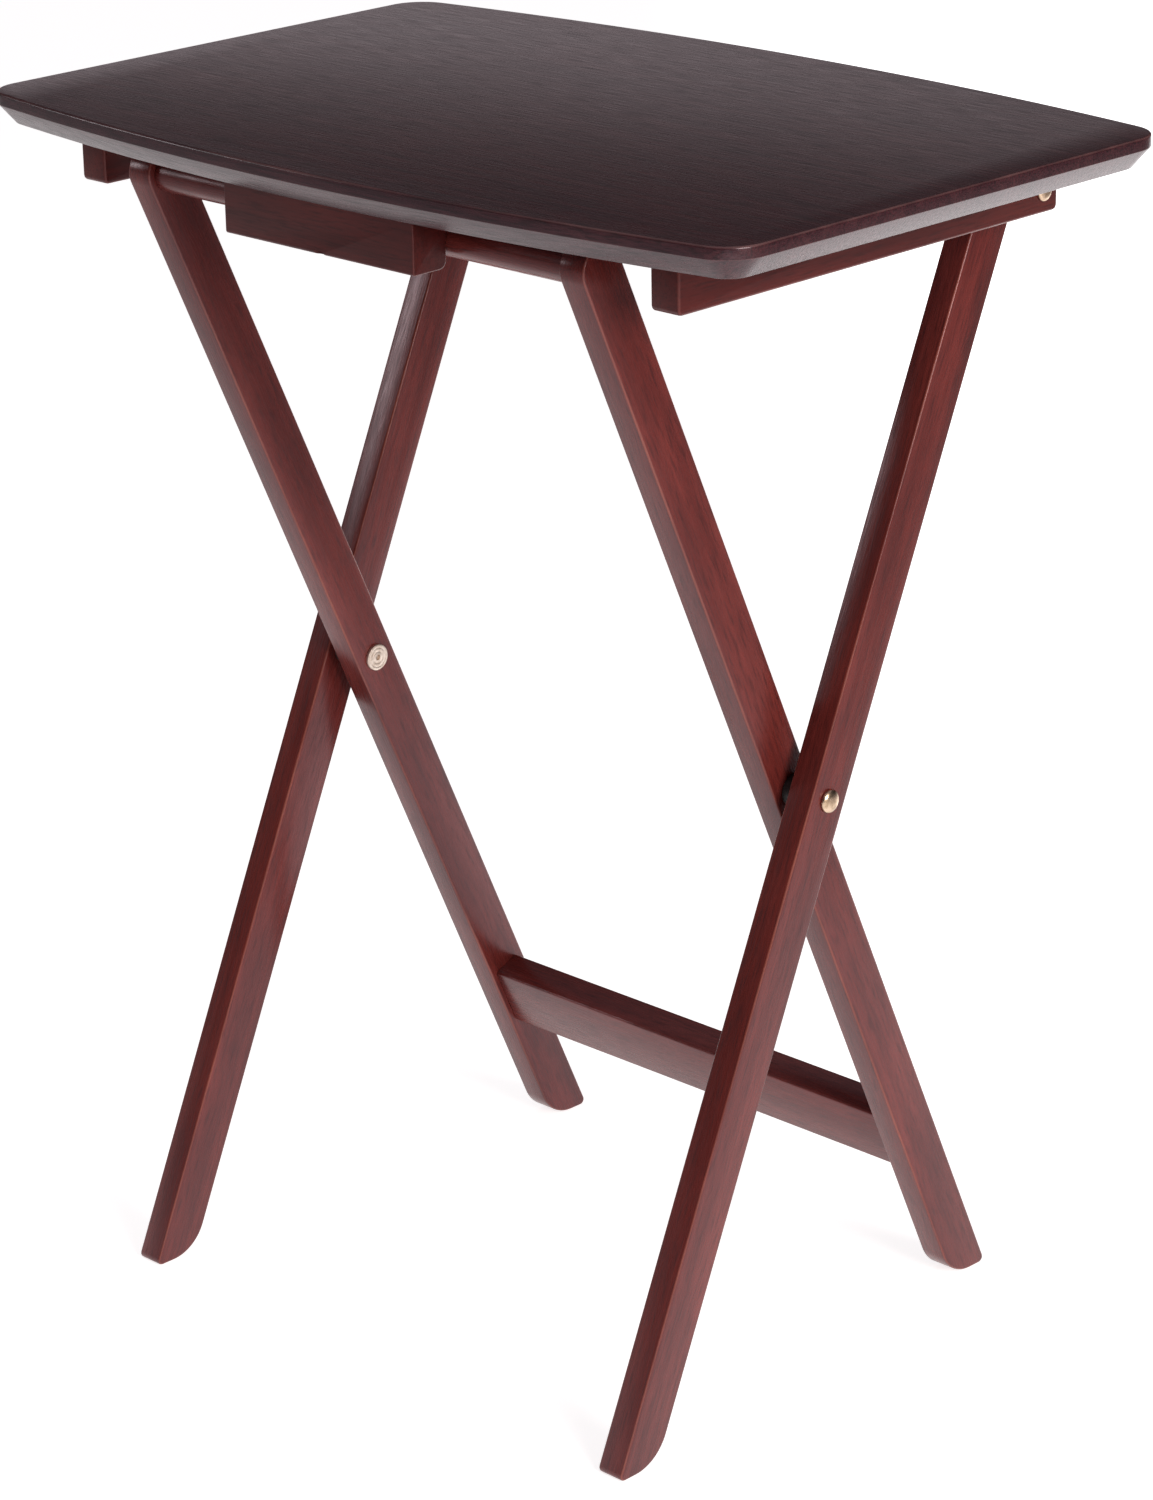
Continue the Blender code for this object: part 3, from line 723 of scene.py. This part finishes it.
def screw_hole(node, piece_low, middle):
    """The counterbore below a screw, in a frame centred on middle."""
    low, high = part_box(node)
    bottom = piece_low - 0.001
    top = low.z + 0.0024
    centre = Vector(((low.x + high.x) / 2, (low.y + high.y) / 2, (bottom + top) / 2)) - middle
    return centre, SCREW_HOLE, top - bottom, 32


# %% Make the cleats
CLEAT_EDGE = 0.0016
CLEAT_CORNER = 0.0028


def make_cleat(side, seed):
    """A cleat: a bar from front to back with softened lower corners."""
    node = f"{side}_cleat"
    low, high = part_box(node)
    middle = (low + high) / 2
    depth, height = (high.y - low.y) / 2, (high.z - low.z) / 2
    outline = round_corners([
        (-depth, -height, CLEAT_CORNER), (depth, -height, CLEAT_CORNER),
        (depth, height, 0.0006), (-depth, height, 0.0006),
    ])
    mesh = ring_stack(node, outline, flat_bar_rings(high.x - low.x, CLEAT_EDGE))
    mesh.transform(SIDE_VIEW)
    screws = [name for name in screw_nodes if name.startswith(node)]
    mesh = cut_holes(mesh, [screw_hole(name, low.z, middle) for name in screws])
    store_grain(mesh, "Y", seed)
    return finish_piece(
        f"{side}_cleat_bar", mesh, Matrix.Translation(middle), cleat_wood,
        "top", [node],
    )


make_cleat("left", 2)
make_cleat("right", 3)

# %% Make the latch block
# The saw has left a small chip in the middle of the block's lower edge.
CHIP_RADIUS = 0.0046
rail_low, rail_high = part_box("round_front_rail")
rail_middle = (rail_low + rail_high) / 2
rail_radius = (rail_high.z - rail_low.z) / 2


def make_latch_block():
    """The block, hollowed along its back where the round rail lies."""
    low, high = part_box("latch_block")
    slip = 0.0003
    hollow = rail_radius + slip
    rail_front = rail_middle.y - hollow
    corners = [
        (low.y, low.z, 0.0014), (rail_front, low.z, 0.0042), (rail_front, rail_middle.z, 0)
    ]
    last = math.acos((rail_middle.y - high.y) / hollow)
    for step in range(1, 13):
        turn = last * step / 12
        across = rail_middle.y - hollow * math.cos(turn)
        corners.append((across, rail_middle.z + hollow * math.sin(turn), 0))
    outline = round_corners(corners + [(high.y, high.z, 0), (low.y, high.z, 0)])
    middle = Vector((0, 0, 0))
    mesh = ring_stack("latch_block", outline, flat_bar_rings(high.x - low.x, 0.0009))
    mesh.transform(SIDE_VIEW)
    screws = [name for name in screw_nodes if name.startswith("latch")]
    chip = (Vector((0.001, low.y - CHIP_RADIUS + 0.0022, low.z)), CHIP_RADIUS, 0.0036, 24)
    holes = [screw_hole(name, low.z, middle) for name in screws]
    mesh = cut_holes(mesh, holes + [chip])
    store_grain(mesh, "X", 4)
    return finish_piece(
        "latch_block_shaped", mesh, Matrix.Identity(4), cleat_wood,
        "top", ["latch_block"],
    )


latch = make_latch_block()
print("latch block:", [round(v * 1000, 1) for v in latch.dimensions], "mm")

# %% [markdown]
# ## Legs
#
# A leg is a flat bar, rounded to a half circle where it pivots or meets the rail, and cut at
# the foot so that its toe stands flat and its heel curves away. The lean comes from the part:
# the joint gives the crossing, and the upper end gives the direction.

# %% Find the crossing and the lean
crossing = Vector(joints["leg_fold"]["pos_m"])
top_hinge = Vector(joints["top_lift"]["pos_m"])
LEAN = math.atan2(top_hinge.y - crossing.y, top_hinge.z - crossing.z)
LEG_WIDTH = 0.0265
LEG_EDGE = 0.0012
HEEL_RADIUS = 0.025
TOE_RADIUS = 0.003
print("the legs lean by", round(math.degrees(LEAN), 2), "degrees")


# %% Make a leg
def make_leg(kind, side, seed):
    """A leg in its own frame: across towards the back, and up along the bar from the crossing."""
    node = f"{kind}_leg_{side}"
    low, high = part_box(node)
    lean = LEAN if kind == "inner" else -LEAN
    hub = top_hinge if kind == "outer" else rail_middle
    reach = math.hypot(hub.y - crossing.y, hub.z - crossing.z)
    half = LEG_WIDTH / 2
    soles = [-(crossing.z + across * math.sin(lean)) / math.cos(lean) for across in (-half, half)]
    back, front = (HEEL_RADIUS, TOE_RADIUS) if kind == "outer" else (TOE_RADIUS, HEEL_RADIUS)
    outline = round_corners([
        (-half, soles[0], front), (half, soles[1], back),
        (half, reach + half, half - 0.0002), (-half, reach + half, half - 0.0002),
    ])
    mesh = ring_stack(node, outline, flat_bar_rings(high.x - low.x, LEG_EDGE))
    mesh.transform(SIDE_VIEW)
    store_grain(mesh, "Z", seed)
    shift = Matrix.Translation(((low.x + high.x) / 2, crossing.y, crossing.z))
    return finish_piece(
        f"{kind}_leg_bar_{side}", mesh, shift @ Matrix.Rotation(lean, 4, "X"), frame_wood,
        f"{kind}_legs", [node],
    )


for seed, (kind, side) in enumerate(
    [("outer", "left"), ("outer", "right"), ("inner", "left"), ("inner", "right")], 5
):
    leg = make_leg(kind, side, seed)
    print(leg.name, [round(v * 1000, 1) for v in leg.dimensions], "mm")

# %% [markdown]
# ## Round rail and stretcher
#
# The round rail is turned: a profile spun about its axis is the honest way to make it, and
# bmesh can spin without leaving a modifier behind. The stretcher is a flat bar set square to
# the legs it joins.

# %% Spin a profile about an axis
def turned_mesh(name, profile, sides=64):
    """A closed turned mesh round +Z. The profile runs from the top down; its ends may be on the axis."""
    shape = bmesh.new()
    rings = []
    for radius, height in profile:
        if radius == 0:
            rings.append([shape.verts.new((0, 0, height))])
            continue
        turns = [2 * math.pi * index / sides for index in range(sides)]
        rings.append([
            shape.verts.new((radius * math.cos(t), radius * math.sin(t), height)) for t in turns
        ])
    for upper, lower in zip(rings, rings[1:]):
        for index in range(sides):
            following = (index + 1) % sides
            if len(upper) == 1:
                shape.faces.new((upper[0], lower[index], lower[following]))
            elif len(lower) == 1:
                shape.faces.new((upper[index], lower[0], upper[following]))
            else:
                shape.faces.new(
                    (upper[index], lower[index], lower[following], upper[following])
                )
    bmesh.ops.recalc_face_normals(shape, faces=shape.faces)
    mesh = bpy.data.meshes.new(name)
    shape.to_mesh(mesh)
    shape.free()
    return mesh


# %% Make the round rail
TENON_RADIUS = 0.006
inner_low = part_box("inner_leg_right")[0]
ALONG_X = Matrix.Rotation(math.radians(90), 4, "Y")


def make_rail():
    """The rail with its two tenons and softly rounded shoulders."""
    shoulder = inner_low.x - 0.0003
    tip = rail_high.x
    half_profile = [
        (0, tip), (TENON_RADIUS - 0.0006, tip), (TENON_RADIUS, tip - 0.0006),
        (TENON_RADIUS, shoulder), (rail_radius - 0.0003, shoulder),
        (rail_radius, shoulder - 0.0003),
    ]
    inner_rings = [(rail_radius, shoulder * share / 8) for share in range(7, -8, -1)]
    mirrored = [(radius, -height) for radius, height in reversed(half_profile)]
    mesh = turned_mesh("round_front_rail", half_profile + inner_rings + mirrored)
    store_grain(mesh, "Z", 10)
    return finish_piece(
        "round_front_rail_turned", mesh, Matrix.Translation(rail_middle) @ ALONG_X, frame_wood,
        "inner_legs", ["round_front_rail"],
    )


make_rail()

# %% Make the stretcher
STRETCHER_HEIGHT = 0.0385
STRETCHER_THICKNESS = 0.018


def make_stretcher():
    """The flat bar low between the inner legs, leaning as they do."""
    low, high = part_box("back_stretcher")
    half = (high.x - low.x) / 2
    across, along = STRETCHER_THICKNESS / 2, STRETCHER_HEIGHT / 2
    outline = round_corners([
        (-across, -along, 0.0014), (across, -along, 0.0014),
        (across, along, 0.0014), (-across, along, 0.0014),
    ])
    mesh = ring_stack("back_stretcher", outline, flat_bar_rings(2 * half, 0.0003))
    mesh.transform(SIDE_VIEW)
    store_grain(mesh, "X", 11)
    middle = (low + high) / 2
    return finish_piece(
        "back_stretcher_bar", mesh,
        Matrix.Translation(middle) @ Matrix.Rotation(LEAN, 4, "X"), frame_wood,
        "inner_legs", ["back_stretcher"],
    )


make_stretcher()

# %% [markdown]
# ## Pivot bolts and nuts
#
# Each pivot is a domed bolt from outside and a flanged nut from inside, whose sleeve the bolt
# runs in. A dome is a quarter of an ellipse over a short upright rim. The nut's face is
# turned, which leaves shallow rings round a small key recess.

# %% Draw the dome and the flange
BOLT_RADIUS = 0.003
SLEEVE_RADIUS = 0.0046
SLEEVE_LENGTH = 0.0125
FLANGE = 0.0017


def dome_profile(radius, height, length):
    """A domed head above z = 0, and its shank."""
    points = [(0, height)]
    for step in range(1, 15):
        turn = math.radians(90 * step / 14)
        points.append((radius * math.sin(turn), height * (0.18 + 0.82 * math.cos(turn))))
    points += [(radius, height * 0.06), (radius - height * 0.06, 0), (BOLT_RADIUS, 0)]
    return points + [(BOLT_RADIUS, 0.0005 - length), (BOLT_RADIUS - 0.0005, -length), (0, -length)]


def nut_profile(radius):
    """A flange above z = 0 with turned rings on its face, and a bored sleeve below."""
    groove = 0.00012
    face = [(0, FLANGE)]
    for share in (0.46, 0.74):
        r = radius * share
        face += [(r - 0.0003, FLANGE), (r, FLANGE - groove), (r + 0.0003, FLANGE)]
    rim = [(radius - 0.0005, FLANGE), (radius - 0.00015, FLANGE - 0.00015)]
    rim += [(radius, FLANGE - 0.0005), (radius, 0.0001), (radius - 0.0001, 0)]
    sleeve = [(SLEEVE_RADIUS, 0), (SLEEVE_RADIUS, -SLEEVE_LENGTH)]
    bore_radius = BOLT_RADIUS + 0.0003
    return face + rim + sleeve + [
        (bore_radius, -SLEEVE_LENGTH), (bore_radius, -0.001), (0, -0.001)
    ]


# %% Make the bolts and nuts
SIDES = {"left": -1, "right": 1}
KEY_RECESS = 0.0018


def make_fitting(node, body, hub, profile, outward, material, recess=False):
    """One turned fitting on a hinge line, facing outwards or inwards."""
    low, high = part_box(node)
    head = max(low.x, high.x, key=lambda x: x * outward)
    head_height = max(height for radius, height in profile)
    mesh = turned_mesh(node, profile, 48)
    if recess:
        mesh = cut_holes(mesh, [(Vector((0, 0, FLANGE)), KEY_RECESS, 0.0028, 6)])
    seat = head - outward * head_height
    aim = Matrix.Rotation(math.radians(90) * outward, 4, "Y")
    place = Matrix.Translation((seat, hub.y, hub.z)) @ aim
    return finish_piece(f"{node}_turned", mesh, place, material, body, [node])


for side, sign in SIDES.items():
    for word, body, hub, head_size, flange in (
        ("leg", "inner_legs", crossing, (0.00625, 0.0032, 0.036), 0.0075),
        ("top", "top_pivot_bolts", top_hinge, (0.005, 0.0026, 0.037), 0.0065),
    ):
        bolt_node = f"{word}_pivot_bolt_{side}"
        nut_node = f"{word}_pivot_nut_{side}"
        make_fitting(bolt_node, body, hub, dome_profile(*head_size), sign, brass)
        make_fitting(nut_node, body, hub, nut_profile(flange), -sign, faced_brass, True)
print("fittings:", 8)

# %% [markdown]
# ## Screws and spacers
#
# Eight wood screws and four spacers are the same few shapes repeated, so Geometry Nodes put
# them on points. The points sit where the part has them. Instances are lost on export, so
# each tree realises them, and the result is kept as a plain mesh.

# %% Start a Geometry Nodes tree
def new_geometry_tree(name, sizes):
    """A geometry group with a point input and named sizes, and its input and output nodes."""
    tree = bpy.data.node_groups.new(name, "GeometryNodeTree")
    tree.interface.new_socket("Points", in_out="INPUT", socket_type="NodeSocketGeometry")
    for label, value in sizes.items():
        socket = tree.interface.new_socket(label, in_out="INPUT", socket_type="NodeSocketFloat")
        socket.subtype = "DISTANCE"
        socket.default_value = value
    tree.interface.new_socket("Finish", in_out="INPUT", socket_type="NodeSocketMaterial")
    tree.interface.new_socket("Pieces", in_out="OUTPUT", socket_type="NodeSocketGeometry")
    return tree, add_node(tree, "NodeGroupInput"), add_node(tree, "NodeGroupOutput")


# %% End the tree: instance, realise, give the finish
def finish_tree(tree, start, end, shape):
    """Puts the shape on every point, as plain geometry with its material."""
    placed = add_node(
        tree, "GeometryNodeInstanceOnPoints", Points=start.outputs["Points"], Instance=shape
    )
    plain = add_node(
        tree, "GeometryNodeRealizeInstances", Geometry=placed.outputs["Instances"]
    )
    finished = add_node(
        tree, "GeometryNodeSetMaterial", Geometry=plain.outputs["Geometry"],
        Material=start.outputs["Finish"],
    )
    tree.links.new(finished.outputs["Geometry"], end.inputs["Pieces"])


# %% Grow plain meshes from points
def grow(name, tree, points, sizes, material):
    """Runs a tree on points and keeps the result as a mesh."""
    cloud = bpy.data.meshes.new(name)
    cloud.from_pydata([tuple(point) for point in points], [], [])
    seed_object = bpy.data.objects.new(name, cloud)
    bpy.context.scene.collection.objects.link(seed_object)
    modifier = seed_object.modifiers.new("grow", "NODES")
    modifier.node_group = tree
    sockets = {item.name: item.identifier for item in tree.interface.items_tree
               if item.in_out == "INPUT"}
    for label, value in sizes.items():
        modifier[sockets[label]] = value
    modifier[sockets["Finish"]] = material
    bpy.context.view_layer.update()
    graph = bpy.context.evaluated_depsgraph_get()
    mesh = bpy.data.meshes.new_from_object(seed_object.evaluated_get(graph))
    seed_object.modifiers.remove(modifier)
    bpy.data.objects.remove(seed_object, do_unlink=True)
    return mesh


# %% Build the screw tree
def screw_tree():
    """A countersunk screw, head down, with a crossed recess and a shank that tapers to its tip."""
    sizes = {"Head Radius": 0.0038, "Head Height": 0.0024, "Shank Radius": 0.0018,
             "Thread Length": 0.026, "Recess": 0.0012}
    tree, start, end = new_geometry_tree("wood_screws", sizes)
    out = start.outputs
    head = add_node(
        tree, "GeometryNodeMeshCone", i0=40, i1=1, i2=1,
        Radius_Top=out["Shank Radius"], Radius_Bottom=out["Head Radius"], Depth=out["Head Height"],
    )
    shank = add_node(
        tree, "GeometryNodeMeshCone", i0=24, i1=1, i2=1,
        Radius_Top=out["Recess"], Radius_Bottom=out["Shank Radius"], Depth=out["Thread Length"],
    )
    lift = add_node(tree, "ShaderNodeMath", {"operation": "SUBTRACT"},
                    i0=out["Head Height"], i1=0.0004)
    lifted = add_node(tree, "ShaderNodeCombineXYZ", Z=lift.outputs["Value"])
    raised = add_node(
        tree, "GeometryNodeTransform", Geometry=shank.outputs["Mesh"],
        Translation=lifted.outputs["Vector"],
    )
    bar_long = add_node(tree, "ShaderNodeMath", {"operation": "MULTIPLY"},
                        i0=out["Head Radius"], i1=1.15)
    bar_thin = add_node(tree, "ShaderNodeMath", {"operation": "MULTIPLY"},
                        i0=out["Recess"], i1=0.62)
    deep = add_node(tree, "ShaderNodeMath", {"operation": "MULTIPLY"}, i0=out["Recess"], i1=2.0)
    bars = []
    for long_axis in ("X", "Y"):
        thin_axis = "Y" if long_axis == "X" else "X"
        lengths = {long_axis: bar_long.outputs[0], thin_axis: bar_thin.outputs[0],
                   "Z": deep.outputs[0]}
        size = add_node(tree, "ShaderNodeCombineXYZ", **lengths)
        bars.append(add_node(tree, "GeometryNodeMeshCube", Size=size.outputs["Vector"]))
    cut = add_node(
        tree, "GeometryNodeMeshBoolean", {"operation": "DIFFERENCE", "solver": "EXACT"},
        i0=head.outputs["Mesh"],
    )
    for bar in bars:
        tree.links.new(bar.outputs["Mesh"], cut.inputs[1])
    whole = add_node(
        tree, "GeometryNodeMeshBoolean", {"operation": "UNION", "solver": "EXACT"},
        i1=cut.outputs["Mesh"],
    )
    tree.links.new(raised.outputs["Geometry"], whole.inputs[1])
    finish_tree(tree, start, end, whole.outputs["Mesh"])
    return tree, sizes


# %% Put the screws in their holes
def make_screws():
    """All eight screws, which ride on the top."""
    tree, sizes = screw_tree()
    points = []
    for node in screw_nodes:
        low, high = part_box(node)
        points.append(((low.x + high.x) / 2, (low.y + high.y) / 2, low.z))
    mesh = grow("wood_screws", tree, points, sizes, zinc)
    return finish_piece(
        "wood_screws_set", mesh, Matrix.Identity(4), zinc, "top", screw_nodes
    )


screws = make_screws()
print("screws:", len(screw_nodes), "with", len(screws.data.polygons), "faces")

# %% Build the spacer tree
def spacer_tree():
    """A ring with rounded edges: a rounded section carried round a circle."""
    sizes = {"Ring Radius": 0.0062, "Wall": 0.0056, "Length": 0.007, "Edge": 0.0006}
    tree, start, end = new_geometry_tree("nylon_spacers", sizes)
    out = start.outputs
    path = add_node(tree, "GeometryNodeCurvePrimitiveCircle", Resolution=64,
                    Radius=out["Ring Radius"])
    section = add_node(tree, "GeometryNodeCurvePrimitiveQuadrilateral",
                       Width=out["Wall"], Height=out["Length"])
    soft = add_node(
        tree, "GeometryNodeFilletCurve", {"mode": "POLY"},
        Curve=section.outputs["Curve"], Count=4, Radius=out["Edge"],
    )
    ring = add_node(
        tree, "GeometryNodeCurveToMesh", Curve=path.outputs["Curve"],
        Profile_Curve=soft.outputs["Curve"],
    )
    turned = add_node(
        tree, "GeometryNodeTransform", Geometry=ring.outputs["Mesh"],
        Rotation=(0, math.radians(90), 0),
    )
    finish_tree(tree, start, end, turned.outputs["Geometry"])
    return tree, sizes


# %% Slip the spacers between the bars
def make_spacers(word, body):
    """Both spacers of one pair of pivots."""
    tree, sizes = spacer_tree()
    nodes = [f"{word}_pivot_spacer_{side}" for side in SIDES]
    points = []
    for node in nodes:
        low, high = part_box(node)
        points.append((low + high) / 2)
        outside = (high.z - low.z) / 2
        inside = BOLT_RADIUS + 0.0003
        sizes["Ring Radius"] = (outside + inside) / 2
        sizes["Wall"] = outside - inside
        sizes["Length"] = high.x - low.x
    mesh = grow(f"{word}_pivot_spacers", tree, points, sizes, nylon)
    return finish_piece(
        f"{word}_pivot_spacers", mesh, Matrix.Identity(4), nylon, body, nodes
    )


for word, body in (("leg", "inner_legs"), ("top", "top_pivot_bolts")):
    spacers = make_spacers(word, body)
    print(spacers.name, len(spacers.data.polygons), "faces")

# %% [markdown]
# ## Dowel pins
#
# The pins are out of sight in the stretcher's ends. The part's own turned solids are right as
# they are, so they stay and only take a better finish.

# %% Finish the pins
pins = [node for name, node in frame["nodes"].items() if name.startswith("stretcher_pin")]
for pin in pins:
    pin.data.materials.clear()
    pin.data.materials.append(beech)
print("pins:", len(pins))
